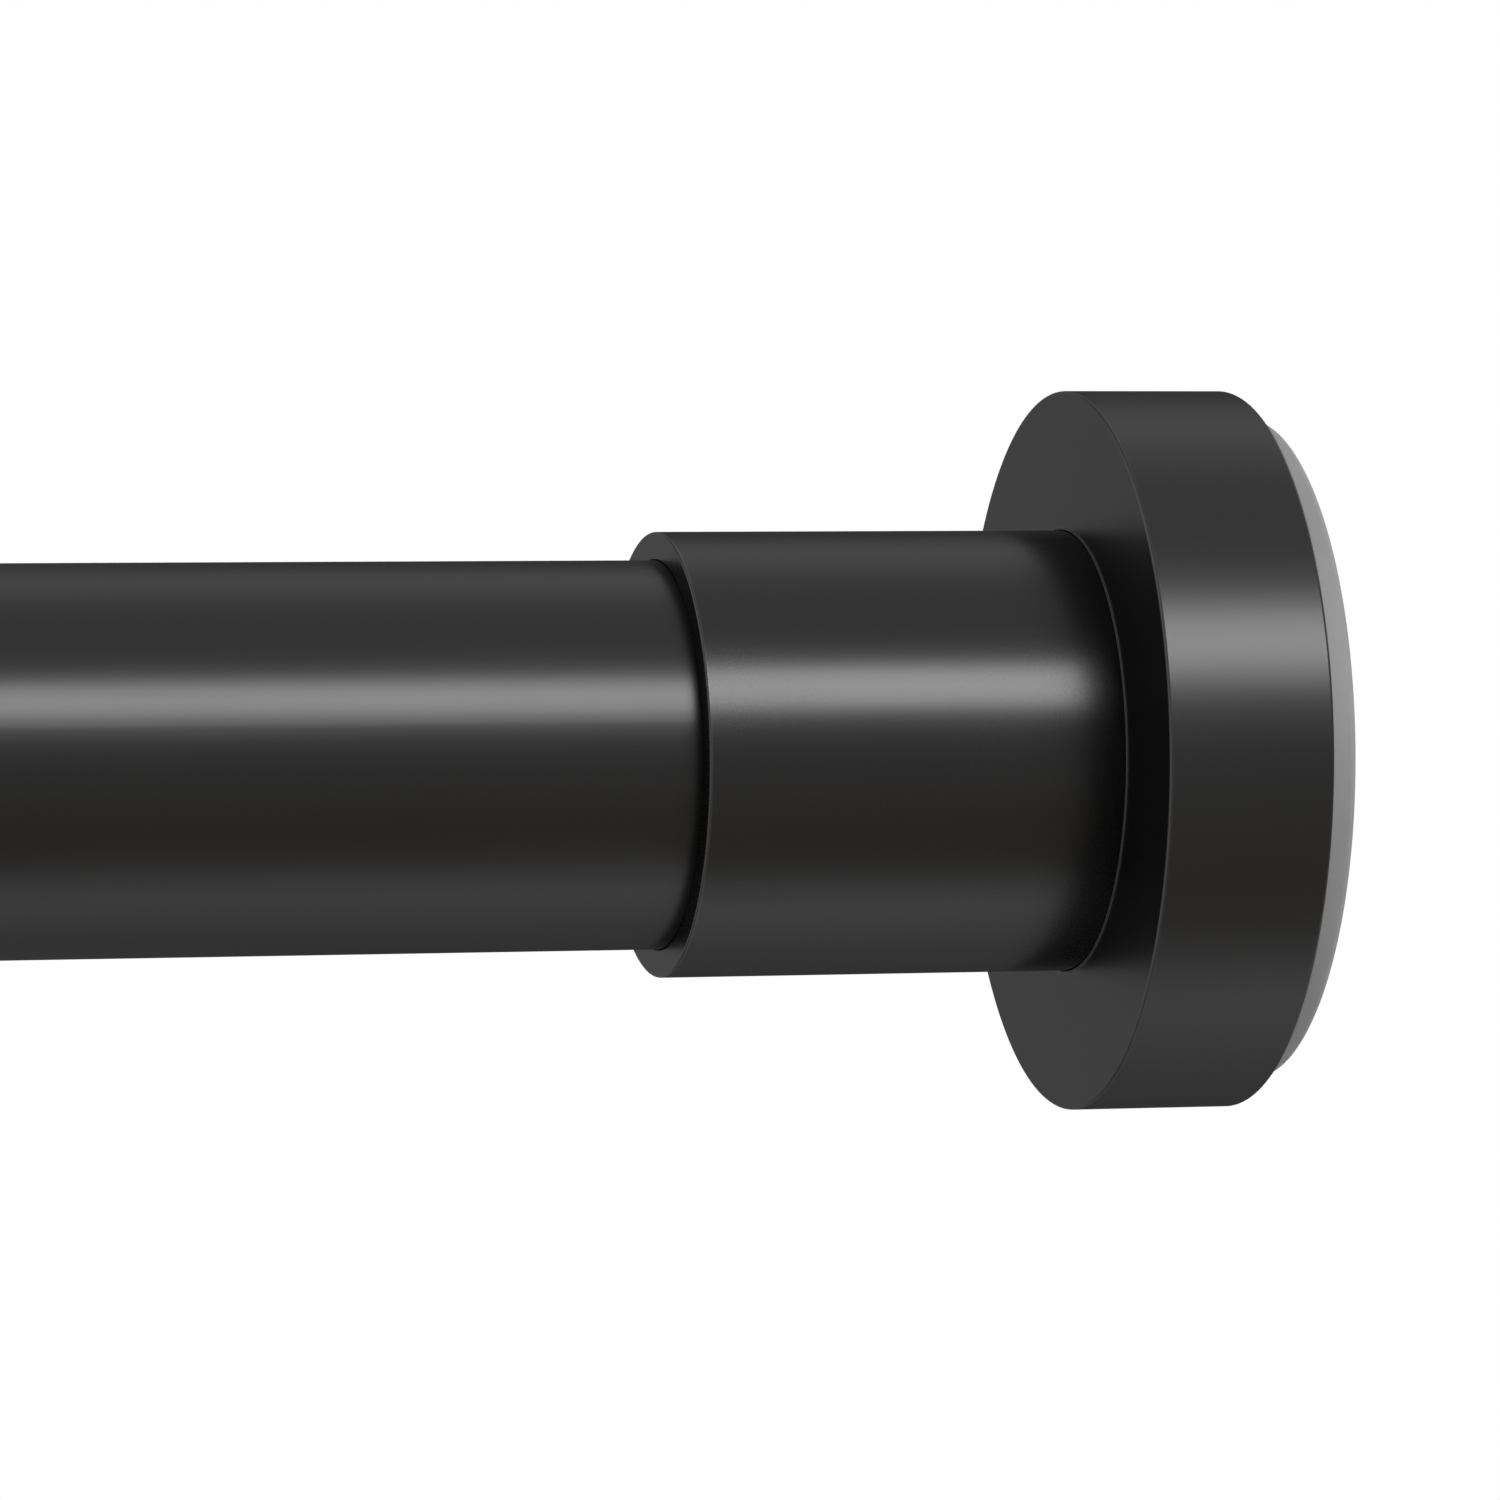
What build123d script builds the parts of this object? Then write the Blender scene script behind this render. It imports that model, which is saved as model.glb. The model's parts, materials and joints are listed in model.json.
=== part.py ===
"""Spring tension rod for curtains: two telescoping tubes, a padded flange on each end,
and inside them a drive screw that stands on a compression spring.

The rod lies along X. The origin is the centre of the wall face of the pad on the thick
tube's end, +X points into that wall, and +Z is up. Sizes are in millimetres.

Turning the thin tube runs its nut along the drive screw, so the rod grows longer. Pushing
the ends together presses the drive screw back against the spring, which holds the rod
between two walls.
"""

from build123d import *
import os
from math import cos, pi, sin, sqrt

os.makedirs("parts", exist_ok=True)

# Lengths over both pads
closed_length = 660.0
travel = 407.0
rest_extension = 100.0

# Tubes: the radial gap lies between the thick tube's bore and the thin tube
outer_tube_diameter = 25.4
outer_tube_wall = 0.8
inner_tube_wall = 0.8
telescoping_gap = 0.8

# Flange moulding, the same at both ends
flange_diameter = 47.5
flange_depth = 11.0
flange_face_wall = 2.4
flange_rim_wall = 1.75
rib_count = 6
rib_thickness = 1.4
hub_wall = 2.6
hub_floor = 2.0
hub_hole_radius = 3.3
hex_recess_depth = 2.2

# Silicone pad
pad_proud = 2.1
pad_seat_depth = 1.6
pad_clearance = 0.05

# Collar that covers the end of each tube
collar_length = 27.7
collar_wall = 1.7
collar_clearance = 0.15
collar_seat_depth = 1.0
collar_lip_length = 3.0
swivel_clearance = 0.3

# Ribbed plugs pressed into the tubes' ends, keyed by two dogs in notches of the tube
press_clearance = 0.05
dog_width = 4.0
dog_length = 3.0
dog_fit = 0.05
plug_rib_count = 6
plug_rib_thickness = 2.4
plug_tail = 11.0
plug_lip = 1.5
key_flats = 12.0
key_clearance = 0.05
boss_height = 2.1
swivel_play = 0.1

# Screws and washers
screw_radius = 2.0
screw_length = 12.0
screw_head_flats = 7.0
screw_head_height = 2.4
screw_fit = 0.05
screw_tip_room = 0.3
washer_radius = 5.5
washer_thickness = 0.8
washer_room = 0.7

# Spring and the plunger that it pushes
spring_wire = 2.2
spring_steps_per_turn = 10
spring_installed_length = 50.0
spring_active_coils = 5
spring_closed_gap = 0.05
spring_travel = 20.0
spring_tube_gap = 0.9
spring_seat_thickness = 2.0
slide_clearance = 0.25
plunger_wall = 2.0
plunger_end_wall = 6.0
plunger_spare_room = 2.0
hex_slide_clearance = 0.2
stop_washer_thickness = 1.2
stop_washer_gap = 1.0

# Drive screw and the pieces on it
drive_screw_radius = 5.45
drive_tenon_flats = 8.0
anchor_floor = 3.0
anchor_length = 12.0
anchor_flange = 3.0
running_clearance = 0.05
tip_guide_length = 6.0
tip_clearance = 0.2
nut_head_length = 6.0
nut_body_length = 24.0
nut_start_gap = 3.0
nut_end_gap = 1.0

# Bush on the mouth of the thick tube
bush_sleeve_length = 14.0
bush_lip = 1.5
bush_lip_step = 0.5
bush_running_clearance = 0.15
mouth_gap = 3.0

# Half of a hexagon's width across its flats, as a share of its corner radius
flats_share = sqrt(3) / 2

# Radii that follow from the tubes
outer_tube_radius = outer_tube_diameter / 2
outer_bore_radius = outer_tube_radius - outer_tube_wall
inner_tube_radius = outer_bore_radius - telescoping_gap
inner_bore_radius = inner_tube_radius - inner_tube_wall
collar_radius = outer_tube_radius + collar_clearance + collar_wall
flange_radius = flange_diameter / 2
cup_radius = flange_radius - flange_rim_wall
hub_bore_half_flats = washer_radius + washer_room
hub_half_flats = hub_bore_half_flats + hub_wall
spring_radius = outer_bore_radius - spring_tube_gap - spring_wire / 2
slider_half_flats = (outer_bore_radius - slide_clearance) * flats_share
cavity_half_flats = slider_half_flats - plunger_wall

# Heights and depths from a flange's seat, where the tube, the collar and the plug stand
hub_seat_height = hex_recess_depth + hub_floor
shank_reach = screw_length - washer_thickness - hub_seat_height
plug_length = shank_reach + plug_tail

# Stations along X, from the photographed end's wall face towards the thin tube's end
flange_front_x = -(pad_proud + flange_depth)
seat_x = flange_front_x + collar_seat_depth
spring_seat_x = seat_x - plug_length
plunger_x = spring_seat_x - spring_installed_length
stop_x = plunger_x - plunger_end_wall
plunger_room = stop_washer_thickness + 2 * screw_head_height + spring_travel + plunger_spare_room
anchor_x = stop_x - plunger_room
anchor_flange_x = anchor_x - anchor_length
drive_shoulder_x = anchor_flange_x - anchor_flange
nut_closed_x = drive_shoulder_x - nut_start_gap
nut_x = nut_closed_x - rest_extension
inner_tube_start_x = nut_x - nut_head_length
tip_guide_x = nut_closed_x - nut_head_length - nut_body_length - travel - nut_end_gap
tip_guide_end_x = tip_guide_x - tip_guide_length
rest_length = closed_length + rest_extension
inner_seat_x = -rest_length - seat_x
inner_tube_end_x = inner_seat_x + swivel_play + plug_lip
collar_mouth_closed_x = -closed_length - flange_front_x + collar_length
mouth_x = collar_mouth_closed_x + spring_travel + mouth_gap
outer_tube_end_x = mouth_x + bush_lip

# The two ends: each plane's origin is a wall face's centre, and its Z points into the wall
outer_end = Plane(origin=(0, 0, 0), x_dir=(0, 1, 0), z_dir=(1, 0, 0))
inner_end = Plane(origin=(-rest_length, 0, 0), x_dir=(0, -1, 0), z_dir=(-1, 0, 0))


def station(x):
    """A plane across the rod at x, whose Z points along +X."""
    return outer_end.offset(x)


def station_back(x):
    """A plane across the rod at x, whose Z points along -X."""
    return inner_end.offset(-rest_length - x)


def round_bar(plane, radius, length):
    """A cylinder from a plane against its Z, added to the part in progress."""
    with Locations(plane):
        Cylinder(radius, length, align=(Align.CENTER, Align.CENTER, Align.MAX))


def bore(plane, radius, length):
    """A round hole from a plane against its Z, cut in the part in progress."""
    with Locations(plane):
        Cylinder(radius, length, align=(Align.CENTER, Align.CENTER, Align.MAX), mode=Mode.SUBTRACT)


def hex_bar(plane, half_flats, length):
    """A hexagonal bar from a plane against its Z, added to the part in progress."""
    with BuildSketch(plane) as section:
        RegularPolygon(half_flats, 6, major_radius=False)
    extrude(section.sketch, amount=-length)


def hex_bore(plane, half_flats, length):
    """A hexagonal hole from a plane against its Z, cut in the part in progress."""
    with BuildSketch(plane) as section:
        RegularPolygon(half_flats, 6, major_radius=False)
    extrude(section.sketch, amount=-length, mode=Mode.SUBTRACT)


def ribbed_bar(plane, radius, length):
    """Ribs that end on a radius, from a plane against its Z, added to the part in progress."""
    with BuildSketch(plane) as section:
        Circle(radius)
        with BuildSketch(mode=Mode.INTERSECT):
            with PolarLocations(0, plug_rib_count):
                Rectangle(radius, plug_rib_thickness, align=(Align.MIN, Align.CENTER))
    extrude(section.sketch, amount=-length)


def add_dogs(plane, radius):
    """Two dogs on the piece in progress, from a plane against its Z, out to a radius."""
    with BuildSketch(plane) as section:
        Circle(radius)
        Rectangle(2 * radius, dog_width, mode=Mode.INTERSECT)
    extrude(section.sketch, amount=-dog_length)


def cut_notches(plane, radius):
    """Two notches for the dogs in the tube in progress, from a plane against its Z."""
    with BuildSketch(plane) as section:
        Rectangle(2 * radius, dog_width + 2 * dog_fit)
    extrude(section.sketch, amount=-(dog_length + dog_fit), mode=Mode.SUBTRACT)


# Flange moulding


def make_flange(name, end):
    """A cup with its back to the wall, with a hub and ribs inside and a keyed seat in its face."""
    rim_plane = end.offset(-pad_proud)
    seat_plane = end.offset(seat_x)
    pad_plane = rim_plane.offset(-pad_seat_depth)
    cup_depth = flange_depth - flange_face_wall
    pad_plane_height = flange_depth - collar_seat_depth - pad_seat_depth
    with BuildPart() as flange:
        round_bar(rim_plane, flange_radius, flange_depth)
        bore(rim_plane, cup_radius, cup_depth)
        with BuildSketch(pad_plane):
            RegularPolygon(hub_half_flats, 6, major_radius=False)
            with PolarLocations(0, rib_count):
                Rectangle(cup_radius + flange_rim_wall / 2, rib_thickness, align=(Align.MIN, Align.CENTER))
        extrude(amount=pad_seat_depth - cup_depth)
        hex_bore(pad_plane, hub_bore_half_flats, pad_plane_height - hub_seat_height)
        bore(rim_plane, hub_hole_radius, flange_depth)
        bore(seat_plane, collar_radius + press_clearance, collar_seat_depth)
        hex_bore(seat_plane.offset(hex_recess_depth), key_flats / 2 + key_clearance, hex_recess_depth)
    flange.part.label = name
    export_step(flange.part, f"parts/{name}.step")


# Silicone pad


def make_pad(name, end):
    """A disc seated in the flange's rim, on its ribs and hub."""
    with BuildPart() as pad:
        round_bar(end, cup_radius - pad_clearance, pad_proud + pad_seat_depth)
    pad.part.label = name
    export_step(pad.part, f"parts/{name}.step")


# Collars


def make_collar(name, end, mouth_radius):
    """A sleeve seated in the flange's face. Its mouth may narrow to the tube that it covers."""
    seat_plane = end.offset(seat_x)
    body_radius = outer_tube_radius + collar_clearance
    whole_length = collar_length + collar_seat_depth
    with BuildPart() as collar:
        round_bar(seat_plane, collar_radius, whole_length)
        bore(seat_plane, mouth_radius, whole_length)
        if mouth_radius < body_radius:
            bore(seat_plane, body_radius, whole_length - collar_lip_length)
    collar.part.label = name
    export_step(collar.part, f"parts/{name}.step")


# Tubes


def make_tube(name, start_x, end_x, radius, wall, notched_ends):
    """A drawn tube between two stations, notched at the ends that hold a plug."""
    with BuildPart() as tube:
        with BuildSketch(station(end_x)):
            Circle(radius)
            Circle(radius - wall, mode=Mode.SUBTRACT)
        extrude(amount=start_x - end_x)
        for plane in notched_ends:
            cut_notches(plane, radius)
    tube.part.label = name
    export_step(tube.part, f"parts/{name}.step")


# Screws and washers


def make_screw(name, seat_plane):
    """A screw whose hexagonal head stands on the Z side of its seat. Its thread is left plain."""
    with BuildPart() as screw:
        round_bar(seat_plane, screw_radius, screw_length)
        hex_bar(seat_plane.offset(screw_head_height), screw_head_flats / 2, screw_head_height)
    screw.part.label = name
    export_step(screw.part, f"parts/{name}.step")


def make_washer(name, seat_plane):
    """A flat washer that lies on its seat, on the seat's Z side."""
    top_plane = seat_plane.offset(washer_thickness)
    with BuildPart() as washer:
        round_bar(top_plane, washer_radius, washer_thickness)
        bore(top_plane, screw_radius + screw_fit, washer_thickness)
    washer.part.label = name
    export_step(washer.part, f"parts/{name}.step")


# Flanges, pads and collars of both ends
make_flange("outer_flange", outer_end)
make_flange("inner_flange", inner_end)
make_pad("outer_pad", outer_end)
make_pad("inner_pad", inner_end)
make_collar("outer_collar", outer_end, outer_tube_radius + collar_clearance)
make_collar("inner_collar", inner_end, inner_tube_radius + swivel_clearance)

# Tubes
make_tube("outer_tube", seat_x, outer_tube_end_x, outer_tube_radius, outer_tube_wall, [station(seat_x)])
make_tube(
    "inner_tube",
    inner_tube_start_x,
    inner_tube_end_x,
    inner_tube_radius,
    inner_tube_wall,
    [station(inner_tube_start_x), station_back(inner_tube_end_x)],
)

# Bush on the mouth of the thick tube, in which the thin tube slides and turns
bush_sleeve_radius = outer_bore_radius - press_clearance
bush_bore_radius = inner_tube_radius + bush_running_clearance
bush_length = bush_lip + bush_sleeve_length
with BuildPart() as mouth_bush:
    round_bar(station_back(mouth_x), outer_tube_radius + bush_lip_step, bush_lip)
    round_bar(station_back(mouth_x), bush_sleeve_radius, bush_length)
    bore(station_back(mouth_x), bush_bore_radius, bush_length)
mouth_bush.part.label = "mouth_bush"
export_step(mouth_bush.part, "parts/mouth_bush.step")

# End plug of the thick tube: keyed into the flange, with a hexagonal guide through the spring
plug_radius = outer_bore_radius - press_clearance
with BuildPart() as outer_end_plug:
    hex_bar(station(seat_x + boss_height), key_flats / 2, seat_x + boss_height - stop_x)
    ribbed_bar(station(seat_x), plug_radius, plug_length)
    add_dogs(station(seat_x), outer_tube_radius)
    hex_bar(station(spring_seat_x + spring_seat_thickness), plug_radius * flats_share, spring_seat_thickness)
    bore(
        station(seat_x + boss_height),
        screw_radius + screw_fit,
        boss_height + shank_reach + screw_tip_room,
    )
    bore(
        station_back(stop_x),
        screw_radius + screw_fit,
        screw_length - stop_washer_thickness + screw_tip_room,
    )
outer_end_plug.part.label = "outer_end_plug"
export_step(outer_end_plug.part, "parts/outer_end_plug.step")

outer_washer_seat = outer_end.offset(seat_x + hub_seat_height)
make_washer("outer_end_washer", outer_washer_seat)
make_screw("outer_end_screw", outer_washer_seat.offset(washer_thickness))

# Spring: a closed coil at each end and open coils between them, its wire drawn six-sided
wire_half_flats = spring_wire / 2 * flats_share
closed_pitch = 2 * wire_half_flats + spring_closed_gap
open_height = spring_installed_length - 2 * closed_pitch - 2 * wire_half_flats
open_pitch = open_height / spring_active_coils
coil_count = spring_active_coils + 2


def wire_x(turns):
    """How far the middle of the wire has come along X after some turns from the plug's end."""
    open_turns = min(max(turns - 1, 0), spring_active_coils)
    return spring_seat_x - wire_half_flats - closed_pitch * (turns - open_turns) - open_pitch * open_turns


with BuildPart() as tension_spring:
    for step in range(coil_count * spring_steps_per_turn + 1):
        turns = step / spring_steps_per_turn
        across = cos(2 * pi * turns)
        up = -sin(2 * pi * turns)
        centre = (wire_x(turns), spring_radius * across, spring_radius * up)
        with BuildSketch(Plane(origin=centre, x_dir=(0, across, up), z_dir=(0, up, -across))):
            RegularPolygon(spring_wire / 2, 6)
    loft(ruled=True)
tension_spring.part.label = "tension_spring"
export_step(tension_spring.part, "parts/tension_spring.step")

# Stop on the guide's tip: a hexagonal plate, which keeps the plunger on it
with BuildPart() as stop_washer:
    hex_bar(station(stop_x), cavity_half_flats - stop_washer_gap, stop_washer_thickness)
    bore(station(stop_x), screw_radius + screw_fit, stop_washer_thickness)
stop_washer.part.label = "stop_washer"
export_step(stop_washer.part, "parts/stop_washer.step")
make_screw("stop_bolt", station_back(stop_x - stop_washer_thickness))

# Plunger: a hexagonal sleeve with a smaller hexagonal eye that slides on the guide
with BuildPart() as spring_plunger:
    hex_bar(station(plunger_x), slider_half_flats, plunger_x - anchor_flange_x)
    hex_bore(station(plunger_x), key_flats / 2 + hex_slide_clearance, plunger_end_wall)
    hex_bore(station(stop_x), cavity_half_flats, stop_x - anchor_flange_x)
spring_plunger.part.label = "spring_plunger"
export_step(spring_plunger.part, "parts/spring_plunger.step")

# Anchor: closes the plunger and holds the drive screw's hexagonal tenon with a screw
tenon_x = anchor_x - anchor_floor
with BuildPart() as rod_anchor:
    hex_bar(station(anchor_x), cavity_half_flats - press_clearance, anchor_length)
    hex_bar(station(anchor_flange_x), slider_half_flats, anchor_flange)
    hex_bore(station(tenon_x), drive_tenon_flats / 2 + press_clearance, tenon_x - drive_shoulder_x)
    bore(station(anchor_x), screw_radius + screw_fit, anchor_floor)
rod_anchor.part.label = "rod_anchor"
export_step(rod_anchor.part, "parts/rod_anchor.step")
make_screw("anchor_bolt", station(anchor_x))

# Drive screw: its coarse thread is left plain, at the middle of the thread's depth
tenon_end_x = tenon_x - press_clearance
with BuildPart() as drive_screw:
    round_bar(station(drive_shoulder_x), drive_screw_radius, drive_shoulder_x - tip_guide_x)
    hex_bar(station(tenon_end_x), drive_tenon_flats / 2, tenon_end_x - drive_shoulder_x)
    bore(station(anchor_x), screw_radius + screw_fit, screw_length + screw_tip_room)
    bore(station_back(tip_guide_end_x), screw_radius + screw_fit, screw_length + screw_tip_room)
drive_screw.part.label = "drive_screw"
export_step(drive_screw.part, "parts/drive_screw.step")

# Guide on the drive screw's tip, which centres it in the thin tube and stops the nut
with BuildPart() as tip_guide:
    hex_bar(station(tip_guide_x), (inner_bore_radius - tip_clearance) * flats_share, tip_guide_length)
    bore(station(tip_guide_x), screw_radius + screw_fit, tip_guide_length)
tip_guide.part.label = "tip_guide"
export_step(tip_guide.part, "parts/tip_guide.step")
make_screw("tip_bolt", station_back(tip_guide_end_x))

# Nut in the inner end of the thin tube
with BuildPart() as travel_nut:
    hex_bar(station(nut_x), slider_half_flats, nut_head_length)
    hex_bar(
        station(inner_tube_start_x),
        (inner_bore_radius - press_clearance) * flats_share,
        nut_body_length,
    )
    add_dogs(station(inner_tube_start_x), inner_tube_radius)
    bore(station(nut_x), drive_screw_radius + running_clearance, nut_head_length + nut_body_length)
travel_nut.part.label = "travel_nut"
export_step(travel_nut.part, "parts/travel_nut.step")

# Plug of the thin tube, whose flange turns on a bush under the screw's washer
inner_seat = inner_end.offset(seat_x)
plug_face = inner_seat.offset(-swivel_play)
with BuildPart() as inner_end_plug:
    hex_bar(plug_face, key_flats / 2, plug_length - swivel_play)
    ribbed_bar(plug_face, inner_tube_radius, plug_lip)
    ribbed_bar(plug_face, inner_bore_radius - press_clearance, plug_length - swivel_play)
    add_dogs(station_back(inner_tube_end_x), inner_tube_radius)
    bore(plug_face, screw_radius + screw_fit, shank_reach + screw_tip_room)
inner_end_plug.part.label = "inner_end_plug"
export_step(inner_end_plug.part, "parts/inner_end_plug.step")

inner_washer_seat = inner_seat.offset(hub_seat_height + swivel_play)
bush_height = hub_seat_height + 2 * swivel_play
with BuildPart() as swivel_bush:
    round_bar(inner_washer_seat, hub_hole_radius - running_clearance, bush_height)
    bore(inner_washer_seat, screw_radius + screw_fit, bush_height)
swivel_bush.part.label = "swivel_bush"
export_step(swivel_bush.part, "parts/swivel_bush.step")
make_washer("inner_end_washer", inner_washer_seat)
make_screw("inner_end_screw", inner_washer_seat.offset(washer_thickness))

print("rest length", rest_length, "thick tube", seat_x - outer_tube_end_x)
print("overlap of the tubes when drawn out", nut_closed_x - travel - outer_tube_end_x)
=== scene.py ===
import json
import math

import bmesh
import bpy
from mathutils import Matrix, Vector


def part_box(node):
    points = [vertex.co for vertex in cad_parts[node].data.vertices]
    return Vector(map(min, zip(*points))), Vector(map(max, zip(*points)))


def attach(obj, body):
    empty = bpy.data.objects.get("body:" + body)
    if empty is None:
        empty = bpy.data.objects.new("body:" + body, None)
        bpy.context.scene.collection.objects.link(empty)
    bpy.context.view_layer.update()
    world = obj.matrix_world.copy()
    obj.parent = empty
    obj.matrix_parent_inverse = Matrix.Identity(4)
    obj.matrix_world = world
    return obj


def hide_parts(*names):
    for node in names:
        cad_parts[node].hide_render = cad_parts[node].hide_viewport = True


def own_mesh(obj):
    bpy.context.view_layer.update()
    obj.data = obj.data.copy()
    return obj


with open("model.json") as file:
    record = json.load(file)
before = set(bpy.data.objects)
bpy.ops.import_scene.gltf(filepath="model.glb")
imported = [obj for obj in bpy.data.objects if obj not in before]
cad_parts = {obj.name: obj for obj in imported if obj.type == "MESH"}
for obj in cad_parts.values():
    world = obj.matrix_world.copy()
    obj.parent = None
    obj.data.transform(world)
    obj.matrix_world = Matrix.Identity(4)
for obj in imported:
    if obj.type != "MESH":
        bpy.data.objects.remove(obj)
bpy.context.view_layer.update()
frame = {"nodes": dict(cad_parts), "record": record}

MM = 0.001
TAU = 2 * math.pi

# Sizes of the frame, in millimetres: x is along the rod, r is from its middle
WALL_X = 0.0
RIM_X = -2.1
FRONT_X = -13.1
SEAT_X = -12.1
REST_LENGTH = 760.0
TUBE_R = 12.7
TUBE_BORE_R = 11.9
THIN_R = 11.1
THIN_BORE_R = 10.3
NOTCH_HALF = 2.05
NOTCH_DEPTH = 3.05
COLLAR_R = 14.55
COLLAR_BORE_R = 12.75
COLLAR_END_X = -40.8
COLLAR_LIP_LENGTH = 3.0
COLLAR_LIP_R = THIN_R + 0.3
FLANGE_R = 23.75
CUP_R = 22.0
CUP_FLOOR_X = -10.7
HUB_TOP_X = -3.7
HUB_HALF_FLATS = 8.8
HUB_BORE_HALF_FLATS = 6.2
HUB_BORE_FLOOR_X = -7.9
HUB_HOLE_R = 3.3
KEY_HALF_FLATS = 6.05
KEY_FLOOR_X = -9.9
RIB_INNER_R = 8.4
RIB_OUTER_R = 22.6
RIB_FOOT_X = -11.2
RIB_FOOT_HALF = 0.70
RIB_TOP_HALF = 0.55
PAD_R = 21.95
SPRING_SEAT_X = -30.1
PLUNGER_X = -80.1
WIRE_R = 1.1
COIL_R = 9.9
SHOULDER_X = -129.1
TENON_HALF_FLATS = 4.0
THREAD_PITCH = 5.0
THREAD_MINOR_R = 5.0
THREAD_MAJOR_R = 5.9
NUT_HEAD_LENGTH = 6.0
NUT_HEAD_CORNER_R = 11.65
NUT_BODY_CORNER_R = 10.25
DOG_LENGTH = 3.0
DOG_HALF = 2.0

# Half the width across a hexagon's flats, as a share of its corners' radius
FLATS_SHARE = math.sqrt(3) / 2

# Small bead on the flange's face round the collar's seat
BEAD_HEIGHT = 0.10
BEAD_TOP_X = FRONT_X - BEAD_HEIGHT
BEAD_FOOT_R = COLLAR_R + 0.17
BEAD_TOP_R = COLLAR_R + 0.13
SEAT_R = COLLAR_R + 0.05

# How finely round forms are divided
DRAWN_SEGMENTS = 256
MOULDED_SEGMENTS = 192
NUT_SEGMENTS = 120
THREAD_SEGMENTS = 60
SCREW_SEGMENTS = 36

# Camera, found by fitting the outlines of the flange and the collar: angles in radians, place in millimetres
CAMERA_YAW, CAMERA_PITCH, CAMERA_ROLL = 0.2538, 0.0010, 0.0110
CAMERA_PLACE = (-165.5, -505.42, -0.27)
FOCAL_PIXELS = 7976
FRAME_PIXELS = 1500
SENSOR_WIDTH = 36.0

# Black of the coat and the plastic: all over, at its darkest, at its lightest, and the lighter black of a
# painted highlight along edges
BLACK = (0.0040, 0.0040, 0.0041)
BLACK_DARK = (0.0035, 0.0035, 0.0036)
BLACK_LIGHT = (0.0045, 0.0045, 0.0046)
EDGE_HIGHLIGHT_BLACK = (0.035, 0.035, 0.036)
WHITE = (1, 1, 1)

# How much the camera sees the floor lifted towards white
FLOOR_LIFT = 0.28

# Sockets of a Mix node that mixes colours
MIX_FIRST, MIX_SECOND, MIX_RESULT = 6, 7, 2


def place_camera():
    """The camera at the photograph's viewing angle."""
    yaw, pitch, roll = CAMERA_YAW, CAMERA_PITCH, CAMERA_ROLL
    forward = Vector((math.sin(yaw) * math.cos(pitch), math.cos(yaw) * math.cos(pitch), math.sin(pitch)))
    right = Vector((math.cos(yaw), -math.sin(yaw), 0))
    down = forward.cross(right)
    rolled_right = math.cos(roll) * right + math.sin(roll) * down
    rolled_down = -math.sin(roll) * right + math.cos(roll) * down
    turn = Matrix((rolled_right, -rolled_down, -forward)).transposed().to_4x4()
    data = bpy.data.cameras.new("camera")
    data.sensor_width = SENSOR_WIDTH
    data.lens = FOCAL_PIXELS / FRAME_PIXELS * SENSOR_WIDTH
    data.clip_start = 0.01
    data.clip_end = 100
    camera = bpy.data.objects.new("camera", data)
    bpy.context.scene.collection.objects.link(camera)
    camera.matrix_world = Matrix.Translation(Vector(CAMERA_PLACE) * MM) @ turn
    bpy.context.scene.camera = camera


place_camera()
bpy.context.scene.view_settings.view_transform = "Standard"


# Node helpers


def shader(name, color, roughness, metallic=0.0, specular=0.5):
    """A material with its Principled shader, whose even values are set on the shader's sockets."""
    made = bpy.data.materials.new(name)
    made.use_nodes = True
    principled = made.node_tree.nodes["Principled BSDF"]
    principled.inputs["Base Color"].default_value = (*color, 1)
    principled.inputs["Roughness"].default_value = roughness
    principled.inputs["Metallic"].default_value = metallic
    principled.inputs["Specular IOR Level"].default_value = specular
    return made, made.node_tree, principled


def noise(tree, per_metre, detail=3.0, rough=0.5, stretch=(1, 1, 1)):
    """A noise texture in the piece's own coordinates, with its grain per metre."""
    place = tree.nodes.new("ShaderNodeTexCoord")
    mapping = tree.nodes.new("ShaderNodeMapping")
    mapping.inputs["Scale"].default_value = stretch
    texture = tree.nodes.new("ShaderNodeTexNoise")
    texture.inputs["Scale"].default_value = per_metre
    texture.inputs["Detail"].default_value = detail
    texture.inputs["Roughness"].default_value = rough
    tree.links.new(place.outputs["Object"], mapping.inputs["Vector"])
    tree.links.new(mapping.outputs["Vector"], texture.inputs["Vector"])
    return texture.outputs["Fac"]


def coordinates(tree, kind):
    """The x, y and z of a texture coordinate."""
    place = tree.nodes.new("ShaderNodeTexCoord")
    parts = tree.nodes.new("ShaderNodeSeparateXYZ")
    tree.links.new(place.outputs[kind], parts.inputs["Vector"])
    return parts.outputs


def spread(tree, fac, low, high, start=0.3, end=0.7):
    """A value that goes from low to high as a factor goes from start to end."""
    ranged = tree.nodes.new("ShaderNodeMapRange")
    ranged.inputs["From Min"].default_value = start
    ranged.inputs["From Max"].default_value = end
    ranged.inputs["To Min"].default_value = low
    ranged.inputs["To Max"].default_value = high
    tree.links.new(fac, ranged.inputs["Value"])
    return ranged.outputs["Result"]


def tint(tree, fac, dark, light, start=0.3, end=0.7):
    """A colour that goes from dark to light as a factor goes from start to end."""
    ramp = tree.nodes.new("ShaderNodeValToRGB")
    first, last = ramp.color_ramp.elements
    first.position = start
    first.color = (*dark, 1)
    last.position = end
    last.color = (*light, 1)
    tree.links.new(fac, ramp.inputs["Fac"])
    return ramp.outputs["Color"]


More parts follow.
